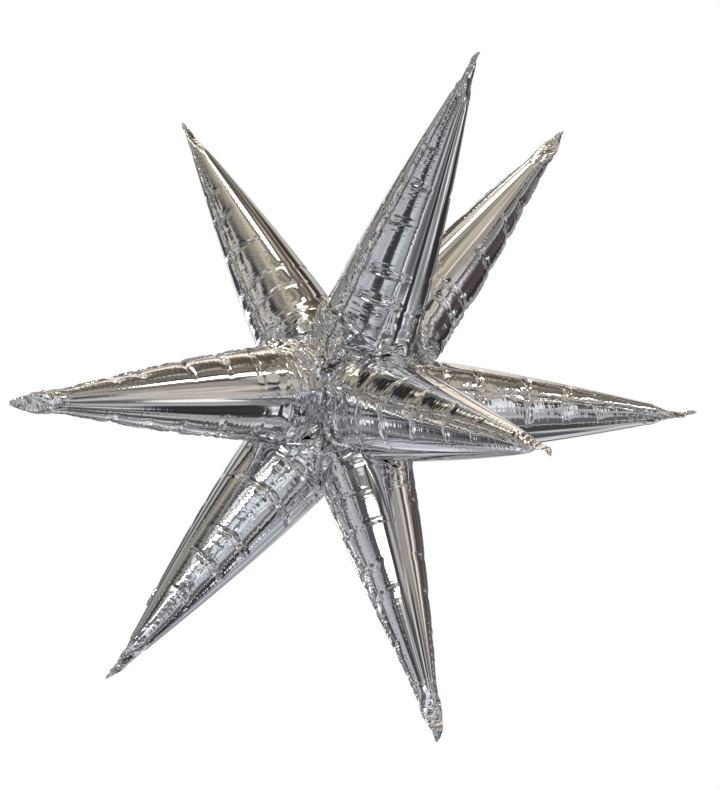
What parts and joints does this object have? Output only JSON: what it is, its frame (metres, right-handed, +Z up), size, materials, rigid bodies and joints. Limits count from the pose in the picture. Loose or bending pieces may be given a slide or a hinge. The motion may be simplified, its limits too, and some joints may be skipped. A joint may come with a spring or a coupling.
{
  "type": "starburst foil balloon",
  "caption": "Air-filled starburst of slender mirror-silver foil cones, tied together at their tails so that the points stand out in every direction.",
  "frame": {"origin": "centre of the tie knot, where all the tails meet and where the balloon hangs in the air", "axes": "+Z up as hung in the picture, -Y towards the viewer, +X to the viewer's right; spike_05 points close to +X"},
  "size_m": [0.6594, 0.6693, 0.6456],
  "materials": {
    "foil": "mirror-bright metallised film, finely wrinkled beside the seams",
    "tail_foil": "the same film, flat and creased",
    "tie": "thin plastic ribbon, tied"
  },
  "bodies": {
    "root": {"spike_01": "foil", "spike_02": "foil", "spike_03": "foil", "spike_04": "foil", "spike_05": "foil", "spike_06": "foil", "spike_07": "foil", "spike_08": "foil", "spike_09": "foil", "spike_10": "foil", "spike_11": "foil", "spike_12": "foil", "tail_01": "tail_foil", "tail_02": "tail_foil", "tail_03": "tail_foil", "tail_04": "tail_foil", "tail_05": "tail_foil", "tail_06": "tail_foil", "tail_07": "tail_foil", "tail_08": "tail_foil", "tail_09": "tail_foil", "tail_10": "tail_foil", "tail_11": "tail_foil", "tail_12": "tail_foil", "tie_knot": "tie"}
  },
  "joints": []
}
